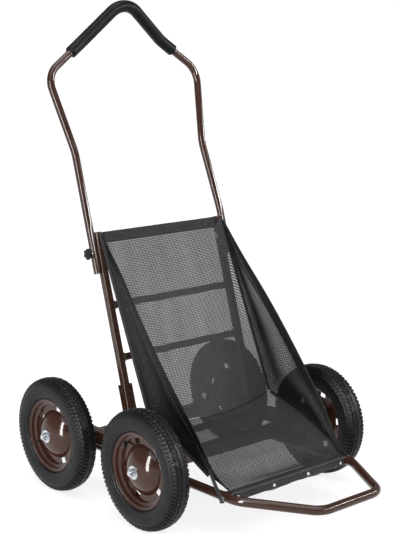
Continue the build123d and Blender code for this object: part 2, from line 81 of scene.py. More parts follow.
# ------------------------------------------------------------------------ materials
class Look:
    """One node material under construction.  Its methods add nodes and return outputs."""

    def __init__(self, name, **values):
        self.material = bpy.data.materials.new(f"{name}_look")
        self.material.use_nodes = True
        self.tree = self.material.node_tree
        self.shader = self.tree.nodes["Principled BSDF"]
        for socket, value in values.items():
            self.shader.inputs[socket.replace("_", " ")].default_value = value
        self.place = self.node("ShaderNodeTexCoord").outputs["Object"]

    def node(self, kind, inputs=None, **properties):
        """A new node; each input is either another node's output or a plain value."""
        made = self.tree.nodes.new(kind)
        for key, value in properties.items():
            setattr(made, key, value)
        for key, value in (inputs or {}).items():
            if isinstance(value, bpy.types.NodeSocket):
                self.tree.links.new(value, made.inputs[key])
            else:
                made.inputs[key].default_value = value
        return made

    def math(self, operation, a, b=0.0):
        return self.node("ShaderNodeMath", {0: a, 1: b}, operation=operation).outputs[0]

    def vector(self, operation, a, b=None):
        inputs = {0: a} if b is None else {0: a, 1: b}
        return self.node("ShaderNodeVectorMath", inputs, operation=operation).outputs[0]

    def noise(self, scale, detail=3.0, rough=0.5, place=None):
        inputs = {
            "Vector": place or self.place, "Scale": scale, "Detail": detail, "Roughness": rough,
        }
        return self.node("ShaderNodeTexNoise", inputs).outputs["Fac"]

    def stretched(self, x, y, z):
        """The place scaled unevenly, for grain that runs one way."""
        return self.vector("MULTIPLY", self.place, (x, y, z))

    def spread(self, value, low, high, out_low, out_high, kind="LINEAR"):
        """The value, with its range from low to high carried onto another range."""
        inputs = {0: value, 1: low, 2: high, 3: out_low, 4: out_high}
        return self.node("ShaderNodeMapRange", inputs, interpolation_type=kind).outputs[0]

    def mix(self, share, a, b):
        return self.node("ShaderNodeMix", {0: share, 6: a, 7: b}, data_type="RGBA").outputs[2]

    def bump(self, height, distance, strength=1.0, under=None):
        inputs = {"Height": height, "Distance": distance, "Strength": strength}
        if under is not None:
            inputs["Normal"] = under
        return self.node("ShaderNodeBump", inputs).outputs["Normal"]

    def edges(self, low, high):
        """How far a point lies on a raised edge, from 0 to 1."""
        sharp = self.node("ShaderNodeNewGeometry").outputs["Pointiness"]
        return self.spread(sharp, low, high, 0.0, 1.0)

    def finish(self, **links):
        for socket, output in links.items():
            self.tree.links.new(output, self.shader.inputs[socket.replace("_", " ")])
        return self.material


def colour(red, green, blue):
    """A linear colour from the usual 0 to 255 display values."""
    def linear(value):
        c = value / 255
        return c / 12.92 if c <= 0.04045 else ((c + 0.055) / 1.055) ** 2.4
    return (linear(red), linear(green), linear(blue), 1.0)


def gloss_paint(name, base, deep, worn, gloss=0.13):
    """Baked enamel on steel: faint orange peel, uneven depth, dust and lighter edges."""
    look = Look(name, Coat_Weight=0.35, Coat_Roughness=0.06, Coat_IOR=1.5, IOR=1.3)
    clouds = look.noise(9.0, 4.0)
    fine = look.noise(160.0, 3.0)
    body = look.mix(look.spread(clouds, 0.35, 0.68, 0.0, 1.0), base, deep)
    dusty = look.mix(look.spread(fine, 0.60, 0.78, 0.0, 0.1), body, worn)
    edges = look.edges(0.54, 0.62)
    worn_edges = look.math("MULTIPLY", edges, look.spread(fine, 0.42, 0.6, 0.05, 0.4))
    rough = look.spread(look.noise(38.0, 5.0), 0.3, 0.7, gloss * 0.75, gloss * 1.35)
    peel = look.bump(look.noise(520.0, 2.0), 0.00006, 0.1)
    runs = look.bump(look.noise(60.0, 2.0), 0.0002, 0.06, under=peel)
    return look.finish(
        Base_Color=look.mix(worn_edges, dusty, worn), Roughness=rough, Normal=runs
    )


def rubber(name, base, dusty, rough_low, rough_high):
    """Moulded rubber: matt, faintly bluish, with dust and a fine mould grain."""
    look = Look(name, IOR=1.4, Specular_IOR_Level=0.3, Sheen_Weight=0.01, Sheen_Roughness=0.4)
    look.shader.inputs["Sheen Tint"].default_value = colour(170, 200, 255)
    clouds = look.noise(26.0, 5.0, 0.6)
    body = look.mix(look.spread(clouds, 0.42, 0.72, 0.0, 1.0), base, dusty)
    rough = look.spread(look.noise(90.0, 4.0), 0.3, 0.7, rough_low, rough_high)
    grain = look.bump(look.noise(1400.0, 2.0), 0.0001, 0.3)
    swirl = look.bump(clouds, 0.0008, 0.15, under=grain)
    return look.finish(Base_Color=body, Roughness=rough, Normal=swirl)


def foam_rubber(name):
    """Skinned closed-cell foam: black, softly shining, with fine pores."""
    look = Look(name, IOR=1.4, Specular_IOR_Level=0.2)
    inputs = {"Vector": look.place, "Scale": 900.0}
    pores = look.node("ShaderNodeTexVoronoi", inputs, feature="F1").outputs["Distance"]
    clouds = look.noise(30.0, 4.0)
    body = look.mix(look.spread(clouds, 0.4, 0.7, 0.0, 1.0), colour(9, 10, 11), colour(15, 16, 18))
    rough = look.spread(look.noise(70.0, 4.0), 0.3, 0.7, 0.4, 0.46)
    skin = look.bump(pores, 0.0001, 0.15)
    dents = look.bump(clouds, 0.0008, 0.1, under=skin)
    return look.finish(Base_Color=body, Roughness=rough, Normal=dents)


def moulded_plastic(name):
    """Moulded plastic: black, with the fine grain of its mould."""
    look = Look(name, IOR=1.4, Specular_IOR_Level=0.3)
    speckle = look.noise(420.0, 3.0)
    body = look.mix(look.spread(speckle, 0.4, 0.7, 0.0, 1.0), colour(8, 8, 9), colour(18, 18, 19))
    rough = look.spread(look.noise(60.0, 4.0), 0.3, 0.7, 0.3, 0.46)
    return look.finish(Base_Color=body, Roughness=rough, Normal=look.bump(speckle, 0.0002, 0.4))


def plated_steel(name, base, tint, rough_low, rough_high):
    """Plated steel with a passivation tint, fine turning marks and dull patches."""
    look = Look(name, Metallic=1.0)
    clouds = look.noise(140.0, 4.0)
    marks = look.noise(1.0, 3.0, place=look.stretched(300.0, 300.0, 300.0))
    body = look.mix(look.spread(clouds, 0.38, 0.7, 0.0, 1.0), base, tint)
    rough = look.spread(marks, 0.3, 0.7, rough_low, rough_high)
    return look.finish(Base_Color=body, Roughness=rough, Normal=look.bump(marks, 0.00008, 0.5))


WEAVE_PITCH = 0.0056       # between holes along a row of the mesh
ROW_SHARE = math.sqrt(3)   # two staggered rows of holes, as a share of the pitch
PULL = 0.022               # how far folds open or close the holes, as a share of the pitch
HOLE_EDGE = 0.04           # half the width of a hole's soft edge, the same share
STRAND_TOP = 0.62          # how far from a hole's centre a strand is thickest, the same share
FUZZ = 0.2                 # how much of a hole the loose fibres cover
# The holes' radius in each panel, as a share of the pitch.
HOLES = {"back": 0.29, "floor": 0.27, "side": 0.195, "hem": 0.22}


def hole_distance(look, flat, offset):
    """How far a point lies from the nearest hole of one of the two staggered rows."""
    scale = (1 / WEAVE_PITCH, 1 / (WEAVE_PITCH * ROW_SHARE), 0.0)
    cells = look.vector("MULTIPLY", flat, scale)
    cells = look.vector("FRACTION", look.vector("ADD", cells, offset))
    cells = look.vector("SUBTRACT", cells, (0.5, 0.5, 0.0))
    cells = look.vector("MULTIPLY", cells, (1.0, ROW_SHARE, 0.0))
    return look.node("ShaderNodeVectorMath", {0: cells}, operation="LENGTH").outputs["Value"]


def open_mesh(name, hole, base, light):
    """Coated polyester mesh: round strands round staggered holes, laid out in the flat cut."""
    look = Look(name, IOR=1.4, Specular_IOR_Level=0.3)
    flat = look.node("ShaderNodeUVMap", uv_map="cloth").outputs["UV"]
    one = hole_distance(look, flat, (0.0, 0.0, 0.0))
    other = hole_distance(look, flat, (0.5, 0.5, 0.0))
    folds = look.noise(1.0, 3.0, place=look.stretched(22.0, 5.0, 5.0))
    pull = look.spread(folds, 0.3, 0.7, -PULL, PULL)
    from_hole = look.math("ADD", look.math("MINIMUM", one, other), pull)
    solid = look.spread(from_hole, hole - HOLE_EDGE, hole + HOLE_EDGE, FUZZ, 1.0, "SMOOTHSTEP")
    strand = look.spread(from_hole, hole, STRAND_TOP, 0.0, 1.0, "SMOOTHSTEP")
    fibres = look.noise(2600.0, 2.0)
    clouds = look.noise(14.0, 3.0)
    body = look.mix(look.spread(fibres, 0.35, 0.7, 0.0, 1.0), base, light)
    body = look.mix(look.spread(clouds, 0.4, 0.7, 0.0, 0.35), body, light)
    rough = look.spread(fibres, 0.3, 0.7, 0.34, 0.55)
    rounded = look.bump(strand, 0.0006, 0.7)
    return look.finish(
        Base_Color=body, Roughness=rough, Alpha=solid,
        Normal=look.bump(fibres, 0.0001, 0.5, under=rounded),
    )


def tape(name, base, light):
    """Woven polyester tape: ribs across it, laid out in its flat length."""
    look = Look(name, IOR=1.5, Sheen_Weight=0.3, Sheen_Roughness=0.35)
    flat = look.node("ShaderNodeUVMap", uv_map="cloth").outputs["UV"]
    inputs = {"Vector": flat, "Scale": 420.0, "Distortion": 0.6, "Detail": 1.0}
    ribs = look.node("ShaderNodeTexWave", inputs, bands_direction="Y").outputs["Fac"]
    across = look.node(
        "ShaderNodeTexWave", {**inputs, "Scale": 300.0}, bands_direction="X"
    ).outputs["Fac"]
    weave = look.math("MULTIPLY", ribs, across)
    body = look.mix(look.spread(weave, 0.1, 0.8, 0.0, 1.0), base, light)
    rough = look.spread(look.noise(800.0, 2.0), 0.3, 0.7, 0.6, 0.85)
    return look.finish(Base_Color=body, Roughness=rough, Normal=look.bump(weave, 0.0003, 0.6))


def thread(name):
    """Polyester sewing thread with a twist."""
    look = Look(name, IOR=1.5, Sheen_Weight=0.2, Sheen_Roughness=0.4)
    fibres = look.noise(3000.0, 2.0)
    body = look.mix(
        look.spread(fibres, 0.35, 0.7, 0.0, 1.0), colour(70, 71, 73), colour(118, 119, 121)
    )
    rough = look.spread(fibres, 0.3, 0.7, 0.5, 0.7)
    return look.finish(Base_Color=body, Roughness=rough, Normal=look.bump(fibres, 0.0001, 0.5))


BROWN = colour(70, 42, 33)
DEEP_BROWN = colour(60, 36, 28)
WORN_BROWN = colour(98, 72, 61)
MESH_DARK, MESH_LIGHT = colour(16, 16, 18), colour(30, 30, 32)
# The second pair is painted light: the same black mesh drawn lighter, as if lit, for the back and
# floor panels.
MESH_PAINTED_LIT, MESH_PAINTED_BRIGHT = colour(44, 44, 47), colour(66, 66, 70)
LOOKS = {
    "frame_paint": gloss_paint("frame_paint", BROWN, DEEP_BROWN, WORN_BROWN),
    "rim_paint": gloss_paint("rim_paint", colour(80, 50, 40), BROWN, WORN_BROWN, gloss=0.12),
    "tyre_rubber": rubber("tyre_rubber", colour(14, 15, 17), colour(26, 28, 31), 0.36, 0.5),
    "tube_rubber": rubber("tube_rubber", colour(18, 18, 19), colour(30, 30, 31), 0.42, 0.6),
    "grip_foam": foam_rubber("grip_foam"),
    "black_plastic": moulded_plastic("black_plastic"),
    "zinc_steel": plated_steel(
        "zinc_steel", colour(214, 216, 218), colour(190, 196, 206), 0.16, 0.3
    ),
    "bearing_steel": plated_steel(
        "bearing_steel", colour(150, 151, 154), colour(120, 122, 126), 0.2, 0.36
    ),
    # Back and floor mesh take the lighter pair: painted light on the same black cloth as the side
    # panels.
    "mesh_fabric": open_mesh("mesh_fabric", HOLES["back"], MESH_PAINTED_LIT, MESH_PAINTED_BRIGHT),
    "mesh_floor": open_mesh("mesh_floor", HOLES["floor"], MESH_PAINTED_LIT, MESH_PAINTED_BRIGHT),
    "mesh_side": open_mesh("mesh_side", HOLES["side"], MESH_DARK, MESH_LIGHT),
    "mesh_hem": open_mesh("mesh_hem", HOLES["hem"], colour(15, 15, 16), MESH_DARK),
    "thread": thread("thread"),
    "webbing": tape("webbing", colour(14, 14, 15), colour(28, 28, 30)),
}
for node in nodes.values():
    for slot in node.material_slots:
        slot.material = LOOKS[slot.material.name]


# ------------------------------------------------------------------ building pieces
def make_piece(name, points, faces, body, slot, look=None, flat=None, sharp=None, replaces=()):
    """A mesh piece that rides on a body, with its material and, for cloth, its flat layout."""
    mesh = bpy.data.meshes.new(name)
    mesh.from_pydata([tuple(p) for p in points], [], faces)
    mesh.validate()
    if flat is not None:
        layer = mesh.uv_layers.new(name="cloth")
        for loop in mesh.loops:
            layer.data[loop.index].uv = flat[loop.vertex_index]
    mesh.shade_smooth()
    if sharp is not None:
        mesh.set_sharp_from_angle(angle=math.radians(sharp))
    mesh.materials.append(LOOKS[look or slot])
    piece = bpy.data.objects.new(name, mesh)
    bpy.context.scene.collection.objects.link(piece)
    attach(piece, body)
    if replaces:
        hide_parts(*replaces)
    return piece


def grid_faces(rows, columns, wrap_rows=False, wrap_columns=False, first=0):
    """Quads over a grid of points kept row by row."""
    faces = []
    for i in range(rows if wrap_rows else rows - 1):
        for j in range(columns if wrap_columns else columns - 1):
            a = i * columns + j
            b = i * columns + (j + 1) % columns
            c = (i + 1) % rows * columns + (j + 1) % columns
            d = (i + 1) % rows * columns + j
            faces.append((first + a, first + b, first + c, first + d))
    return faces


def curve_through(points, steps):
    """A smooth line through a few points: steps + 1 points, evenly spaced in parameter."""
    ends = [points[0] * 2 - points[1], *points, points[-1] * 2 - points[-2]]
    spans = len(points) - 1
    line = []
    for k in range(steps + 1):
        place = min(k / steps * spans, spans - 1e-9)
        i = int(place)
        t = place - i
        a, b, c, d = ends[i:i + 4]
        line.append(
            (b * 2 + (c - a) * t + (a * 2 - b * 5 + c * 4 - d) * t * t
             + (b * 3 - a - c * 3 + d) * t * t * t) / 2
        )
    return line


def evenly(line, count):
    """The same line with count + 1 points, equally far apart along it."""
    travelled = [0.0]
    for a, b in zip(line, line[1:]):
        travelled.append(travelled[-1] + (b - a).length)
    out = []
    i = 0
    for k in range(count + 1):
        goal = travelled[-1] * k / count
        while i < len(line) - 2 and travelled[i + 1] < goal:
            i += 1
        span = max(travelled[i + 1] - travelled[i], 1e-12)
        out.append(line[i].lerp(line[i + 1], (goal - travelled[i]) / span))
    return out


def length_of(line):
    return sum((b - a).length for a, b in zip(line, line[1:]))


def sweep(line, section_at, up_way, closed=False):
    """Points, faces and flat layout of a section carried along a line.

    section_at(k, share) gives the offsets to the side and up; up_way is roughly up.
    """
    count = len(line)
    points, flat = [], []
    travelled = 0.0
    for k, centre in enumerate(line):
        ahead = line[(k + 1) % count] if closed or k < count - 1 else centre
        behind = line[k - 1] if closed or k > 0 else centre
        tangent = (ahead - behind).normalized()
        side = tangent.cross(up_way).normalized()
        up = side.cross(tangent).normalized()
        travelled += (centre - line[k - 1]).length if k else 0.0
        section = section_at(k, k / max(count - 1, 1))
        around = 0.0
        for m, (a, b) in enumerate(section):
            points.append(centre + side * a + up * b)
            if m:
                around += math.dist(section[m], section[m - 1])
            flat.append((around, travelled))
    size = len(section)
    faces = grid_faces(count, size, wrap_rows=closed, wrap_columns=True)
    if not closed:
        faces.append(tuple(reversed(range(size))))
        faces.append(tuple(range((count - 1) * size, count * size)))
    return points, faces, flat


ROUND_STEPS = 5            # round each edge of a tape


def tape_section(width, thickness, shift=0.0):
    """Section of a tape given in mm: round edges and flat faces, shifted along its width."""
    half, round_r = width / 2, thickness / 2
    section = []
    for end in (1, -1):
        for k in range(ROUND_STEPS + 1):
            turn = math.pi * (k / ROUND_STEPS - 0.5)
            section.append((
                mm(shift + end * (half - round_r + round_r * math.cos(turn))),
                mm(end * round_r * math.sin(turn)),
            ))
    return section


def circle(radius, steps):
    turns = [2 * math.pi * k / steps for k in range(steps)]
    return [(radius * math.cos(a), radius * math.sin(a)) for a in turns]


# ----------------------------------------------------------------------------- tyres
TREAD_PITCHES = 84
# Rows within one pitch: share of the pitch, and 1 inside a cross groove or 0 on a block.
PITCH_STEPS = [(0.0, 1.0), (0.27, 1.0), (0.37, 0.0), (0.63, 0.0), (0.90, 0.0)]
TREAD_R = 165.0            # mm, at the middle of the tread
TREAD_HALF = 21.0          # half the tread's width, mm
CROWN_DROP = 4.0           # how much lower the tread is at its edges, mm
TREAD_BASE_R = 159.5       # within TREAD_HALF, all above this radius is tread, mm
PLAIN_HALF = 3.0           # half the width of the centre rib that doesn't wander, mm
ZIGZAG = 1.5               # how far the long grooves wander, mm
CHEVRON = 0.45             # how far the cross grooves lean, as a share of a pitch
SIDEWALL = [               # outer half section from the bead to the shoulder: across, radius
    (25.6, 108.0), (26.3, 109.6), (27.3, 110.4), (27.6, 112.6), (28.2, 116.0), (29.3, 122.0),
    (29.95, 129.0), (29.9, 136.0), (29.3, 141.0), (29.35, 142.2), (28.6, 143.4), (28.1, 145.6),
]
SHOULDER = [(27.5, 148.0), (26.4, 151.2), (24.6, 155.8), (22.3, 159.9)]
TREAD = [                  # across, how deep a long groove is there, how deep a cross groove is
    (20.8, 0.0, 2.4), (20.2, 2.8, 0.0), (18.4, 2.8, 0.0), (17.8, 0.0, 2.4), (13.2, 0.0, 2.4),
    (8.9, 0.0, 2.4), (8.3, 2.8, 0.0), (6.5, 2.8, 0.0), (5.9, 0.0, 1.2), (2.6, 0.0, 0.0),
]
BEAD = [(13.5, 107.0), (11.5, 99.2), (17.6, 100.2), (18.2, 105.0)]
CAVITY = [(-19.5, 116.0), (-23.8, 130.0), (-18.0, 149.0), (0.0, 158.0)]
SHOULDER_DEPTH = 3.2       # of the cross grooves in the shoulder, mm
SHOULDER_START = 0.35      # share of that depth at the shoulder's lowest point


def tyre_section():
    """The closed section: across, radius, out direction, long and cross groove depths."""
    def crown(across):
        return TREAD_R - CROWN_DROP * (across / TREAD_HALF) ** 2

    half = [(u, r, 0.0, 0.0) for u, r in SIDEWALL]
    for k, (u, r) in enumerate(SHOULDER):
        half.append((u, r, 0.0, SHOULDER_DEPTH * (SHOULDER_START if k == 0 else 1.0)))
    half += [(u, crown(u), long, cross) for u, long, cross in TREAD]
    whole = [*half, (0.0, crown(0.0), 0.0, 0.0)]
    whole += [(-u, r, a, b) for u, r, a, b in reversed(half)]
    whole += [(-u, r, 0.0, 0.0) for u, r in reversed(BEAD)]
    whole += [(u, r, 0.0, 0.0) for u, r in CAVITY]
    whole += [(-u, r, 0.0, 0.0) for u, r in reversed(CAVITY[:-1])]
    whole += [(u, r, 0.0, 0.0) for u, r in BEAD]
    out = []
    for k, (u, r, long, cross) in enumerate(whole):
        before, after = whole[k - 1], whole[(k + 1) % len(whole)]
        along = Vector((after[0] - before[0], after[1] - before[1])).normalized()
        out.append((u, r, Vector((-along.y, along.x)), long, cross))
    if out[len(half)][2].y < 0:
        out = [(u, r, -n, a, b) for u, r, n, a, b in out]
    return out


def make_tyre(wheel, turn):
    """A tyre with ribbed shoulders, two zigzag grooves each side and a plain centre rib."""
    centre = middle(f"tyre_{wheel}")
    outboard = 1 if centre.x > 0 else -1
    section = tyre_section()
    points = []
    for pitch in range(TREAD_PITCHES):
        for share, groove in PITCH_STEPS:
            for across, radius, out, long, cross in section:
                place = pitch + share
                shift = 0.0
                if abs(across) < TREAD_HALF and radius > TREAD_BASE_R:
                    zig = abs((place * 0.5) % 1.0 * 2 - 1) * 2 - 1
                    if abs(across) > PLAIN_HALF:
                        across += math.copysign(ZIGZAG, across) * zig
                    shift = CHEVRON * math.sin(across / TREAD_HALF * math.pi)
                depth = max(long, cross * groove)
                reach = radius - out.y * depth
                across -= out.x * depth
                angle = 2 * math.pi * (place + shift) / TREAD_PITCHES + turn
                points.append(centre + mm(
                    outboard * across, reach * math.cos(angle), reach * math.sin(angle)
                ))
    faces = grid_faces(
        TREAD_PITCHES * len(PITCH_STEPS), len(section), wrap_rows=True, wrap_columns=True
    )
    if outboard < 0:
        faces = [tuple(reversed(f)) for f in faces]
    return make_piece(
        f"tyre_skin_{wheel}", points, faces, f"wheel_{wheel}", "tyre_rubber", sharp=32,
        replaces=[f"tyre_{wheel}"],
    )


# How far each tyre has rolled, in radians, so that no two look alike.
TYRE_TURNS = {"front_left": 0.1, "front_right": 1.3, "rear_left": 2.2, "rear_right": 0.7}
for wheel, turn in TYRE_TURNS.items():
    make_tyre(wheel, turn)


# ------------------------------------------------------------------------- foam grip
def rounded_line(corners, radii, step):
    """A line through corners with an arc at each inner one."""
    line = [corners[0]]
    for before, corner, after, radius in zip(corners, corners[1:], corners[2:], radii):
        back = (before - corner).normalized()
        on = (after - corner).normalized()
        half = back.angle(on) / 2
        reach = radius / math.tan(half)
        middle_way = (back + on).normalized()
        hub = corner + middle_way * (radius / math.sin(half))
        start = corner + back * reach - hub
        axis = start.cross(corner + on * reach - hub).normalized()
        turn = math.pi - 2 * half
        count = max(int(radius * turn / step), 4)
        line += [hub + Matrix.Rotation(turn * k / count, 3, axis) @ start for k in range(count + 1)]
    return [*line, corners[-1]]


GRIP_R = 17.5 * MM
GRIP_BORE = 11.15 * MM     # clear of the handle's tube
GRIP_LIP = mm(3.2)         # rounding of the sleeve's ends
GRIP_ROWS, GRIP_SIDES = 150, 48
END_BEND, PEAK_BEND = mm(150), mm(72)   # radii of the line's bends
SHOULDER_BEND = mm(278.6, 427.7, 1180.7)
ELBOW = mm(146.8, 441.8, 1271.2)
PEAK = mm(0, 425.3, 1394.5)
GRIP_END = SHOULDER_BEND.lerp(ELBOW, 0.66)


def make_grip():
    """Foam sleeve over the handle's peak: slightly uneven, rounded at its open ends."""
    def other(p):
        return Vector((-p.x, p.y, p.z))

    corners = [other(GRIP_END), other(ELBOW), PEAK, ELBOW, GRIP_END]
    bends = [END_BEND, PEAK_BEND, END_BEND]
    line = evenly(rounded_line(corners, bends, mm(4)), GRIP_ROWS)
    total = length_of(line)
    points = []
    travelled = 0.0
    for k, centre in enumerate(line):
        ahead, behind = line[min(k + 1, len(line) - 1)], line[max(k - 1, 0)]
        tangent = (ahead - behind).normalized()
        side = tangent.cross(Vector((0, 1, 0))).normalized()
        up = side.cross(tangent)
        travelled += (centre - line[k - 1]).length if k else 0.0
        from_end = min(travelled, total - travelled)
        ease = math.sqrt(max(1 - (1 - min(from_end / GRIP_LIP, 1.0)) ** 2, 0.0))
        swell = 1 + 0.018 * noise.noise(centre * 21) + 0.012 * math.exp(-from_end / mm(9))
        for m in range(GRIP_SIDES):
            a = 2 * math.pi * m / GRIP_SIDES
            radius = (GRIP_R - GRIP_LIP * (1 - ease)) * swell
            points.append(centre + (side * math.cos(a) + up * math.sin(a)) * radius)
    for k in reversed(range(len(line))):
        outer = points[k * GRIP_SIDES:(k + 1) * GRIP_SIDES]
        points += [line[k] + (p - line[k]).normalized() * GRIP_BORE for p in outer]
    faces = grid_faces(2 * len(line), GRIP_SIDES, wrap_rows=True, wrap_columns=True)
    grip = make_piece(
        "grip_sleeve", points, faces, "handle", "grip_foam", sharp=50, replaces=["foam_grip"]
    )


make_grip()

# ----------------------------------------------------------------------------- sling
HALF = 228.0               # half width of back and floor, mm
TOP_Z = 721.0              # height of the back's top edge, mm
TOP_FORWARD = 16.0         # how far the back hangs in front of the crossbar's middle, mm
EAR_UP = 25.0              # how far the corners reach up the uprights
EAR_START, EAR_SPAN, CORNER_SPAN = 0.9, 0.07, 0.1   # where they rise, as shares of HALF
CORNER_FORWARD = 11.0      # how far they are drawn forward, mm
CREASE_Y, CREASE_Z = 41, 251
CREASE_SAG = 30.0          # how much lower the crease is at mid width, mm
CREASE_FORWARD = 4.0       # how much further forward it is there, mm
BACK_HANG = 9.0            # how far the back hollows towards the handle, mm
BACK_WAY = Vector((0, 0.92, -0.39))
FLOOR_LIFT = 4.0           # how much the pull of the front bar lifts the floor, mm
FLOOR_LEVEL_GAP = 1.5      # how far above the cloth on the bar the floor levels out, mm
FLOOR_NARROWING = 12.0     # how much half the floor's width shrinks towards the flap, mm
FLAP_WAVES = ((1.6, 9.0, 0.7), (0.8, 23.0, 0.0))   # height in mm, waves, start
FLAP_SWAY, FLAP_SWAY_WAVES = 0.5, 14.0
FLAT_FLAP_ROWS = 6         # of the flap, before its free edge starts to wave
PANEL_DIP, PANEL_WAVE = 9.0, 5.0   # how far a side panel hollows inwards, and waves, mm
LADDER_SLOPE = 0.293       # how far the uprights lean back for each unit of height
bar = middle("top_crossbar") / MM          # the crossbar in the sling's top hem
front_bar_low, front_bar_high = (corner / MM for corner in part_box("front_crossbar"))
BACK_STEPS, FLOOR_STEPS, CROSS_STEPS, PANEL_STEPS = 64, 40, 56, 18
FLOOR_SIDE = [(CREASE_Y, CREASE_Z), (-99, 208), (-165, 178), (-250, 136)]   # its edge: y, z
FREE_EDGE = [              # the side panels' free edge: y, z and half width
    (244, 735, 229), (164, 646, 230), (59, 525, 240), (-42, 405, 243), (-151, 275, 238),
    (-208, 194, 234), (-238, 156, 225), (-264, 134, 215),
]


def sag_shape(s):
    """1 at mid width and 0 at the side seams."""
    return 1 - abs(s) ** 2.2


def back_point(s, t):
    """The sling's back: s from -1 to 1 across, t from 0 at the top hem to 1 at the crease."""
    sag = sag_shape(s)
    ear = smoothstep((abs(s) - EAR_START) / EAR_SPAN)
    corner = smoothstep((abs(s) - EAR_START) / CORNER_SPAN)
    top_y = bar.y - TOP_FORWARD + LADDER_SLOPE * EAR_UP * ear - CORNER_FORWARD * corner
    top = Vector((HALF * s, top_y, TOP_Z + EAR_UP * ear))
    crease = Vector((HALF * s, CREASE_Y - CREASE_FORWARD * sag, CREASE_Z - CREASE_SAG * sag))
    hang = BACK_HANG * math.sin(math.pi * t ** 1.2) * sag
    return mm(*(top.lerp(crease, t) + BACK_WAY * hang))


floor_line = curve_through([Vector((y, z, 0)) for y, z in FLOOR_SIDE], FLOOR_STEPS)
BAR_GAP = 1.8              # between the front bar and the middle of the cloth over it, mm
bar_top = front_bar_high.z + BAR_GAP
bar_front = front_bar_low.y - BAR_GAP
FLAP = [                   # over the front bar: y, z and half width
    (-256, bar_top + 0.9, 215), (-263, bar_top, 214), (-269, bar_top, 213),
    (bar_front + 3.4, bar_top - 0.7, 212), (bar_front + 0.9, bar_top - 3.2, 210.5),
    (bar_front, bar_top - 7, 209.5), (bar_front - 0.2, bar_top - 12, 208.8),
    (bar_front, bar_top - 18, 208.4), (bar_front + 0.4, bar_top - 23, 208),
    (bar_front + 0.8, bar_top - 26, 207.6),
]


def floor_point(s, row):
    """The sling's floor: row 0 is the crease, and the last rows go over the front bar."""
    if row <= FLOOR_STEPS:
        t = row / FLOOR_STEPS
        y, z = floor_line[row].x, floor_line[row].y
        sag = CREASE_SAG * (1 - t ** 2.4) - FLOOR_LIFT * math.sin(math.pi * t)
        level = smoothstep((t - 0.7) / 0.3)
        drop = level * (z - bar_top - FLOOR_LEVEL_GAP)
        z_mid = z - sag * sag_shape(s) - drop * sag_shape(s)
        narrow = FLOOR_NARROWING * smoothstep((t - 0.8) / 0.2)
        return mm((HALF - narrow) * s, y - CREASE_FORWARD * sag_shape(s) * (1 - t), z_mid)
    y, z, half = FLAP[row - FLOOR_STEPS - 1]
    free = max(row - FLOOR_STEPS - FLAT_FLAP_ROWS, 0) / (len(FLAP) - FLAT_FLAP_ROWS)
    wave = sum(size * free * math.sin(waves * s + start) for size, waves, start in FLAP_WAVES)
    return mm(half * s, y - FLAP_SWAY * free * math.sin(FLAP_SWAY_WAVES * s), z + wave)


def panel_point(side, k, v):
    """A side panel: k counts down the back seam, then forward along the floor's side."""
    if k <= BACK_STEPS:
        inner = back_point(side, k / BACK_STEPS)
    else:
        inner = floor_point(side, k - BACK_STEPS)
    share = k / (BACK_STEPS + FLOOR_STEPS)
    edge = free_edge[k]
    outer = Vector((side * edge.x, edge.y, edge.z))
    middle_swell = math.sin(math.pi * share)
    fold = PANEL_WAVE * math.sin(2 * math.pi * v + 0.5) * middle_swell
    fold -= PANEL_DIP * math.sin(math.pi * v)
    point = inner.lerp(outer, v)
    point.x += side * mm(fold) * middle_swell * math.sin(math.pi * min(v * 1.3, 1.0))
    return point


edge_line = curve_through([mm(half, y, z) for y, z, half in FREE_EDGE], 400)
free_edge = evenly(edge_line, BACK_STEPS + FLOOR_STEPS)


def cloth_rows(place, rows, columns=CROSS_STEPS):
    """A grid of points, row by row; place(i, j) gives the one at row i, column j."""
    return [[place(i, j) for j in range(columns + 1)] for i in range(rows + 1)]


def share_across(j):
    """Column j of back, floor or hem, from -1 at the left seam to 1 at the right one."""
    return 2 * j / CROSS_STEPS - 1


sling = {
    "back": cloth_rows(lambda i, j: back_point(share_across(j), i / BACK_STEPS), BACK_STEPS),
    "floor": cloth_rows(lambda i, j: floor_point(share_across(j), i), FLOOR_STEPS + len(FLAP)),
}
for name, side in SIDES.items():
    sling[name] = cloth_rows(
        lambda i, j: panel_point(side, i, j / PANEL_STEPS), BACK_STEPS + FLOOR_STEPS, PANEL_STEPS
    )


def row_layout(rows):
    """Flat layout of a panel that is wider than it is bent: x across, length along."""
    middle_column = len(rows[0]) // 2
    flat = []
    travelled = 0.0
    for i, row in enumerate(rows):
        if i:
            travelled += (row[middle_column] - rows[i - 1][middle_column]).length
        flat += [(p.x, travelled) for p in row]
    return flat


def side_layout(rows):
    """Flat layout of a side panel, which hangs nearly upright."""
    return [(p.y, p.z) for row in rows for p in row]


CLOTH_THICK, FLOOR_THICK = 1.1 * MM, 0.6 * MM


def cloth_piece(name, rows, layout, look="mesh_fabric", replaces=(), thickness=CLOTH_THICK):
    """A panel of mesh cloth on the cart, smoothed and given its thickness."""
    points = [p for row in rows for p in row]
    faces = grid_faces(len(rows), len(rows[0]))
    piece = make_piece(
        name, points, faces, "cart", "mesh_fabric", look=look, flat=layout, replaces=replaces
    )
    smooth = piece.modifiers.new("smooth", "SUBSURF")
    smooth.levels = smooth.render_levels = 1
    thick = piece.modifiers.new("thick", "SOLIDIFY")
    thick.thickness = thickness
    thick.offset = 0.0
    return piece


back = cloth_piece(
    "sling_back_mesh", sling["back"], row_layout(sling["back"]), replaces=["sling_back"]
)
floor_mesh = cloth_piece(
    "sling_floor_mesh", sling["floor"], row_layout(sling["floor"]), "mesh_floor", ["sling_floor"],
    thickness=FLOOR_THICK,
)
for name in SIDES:
    rows = sling[name]
    panel = cloth_piece(
        f"sling_side_mesh_{name}", rows, side_layout(rows), "mesh_side", [f"sling_side_{name}"]
    )

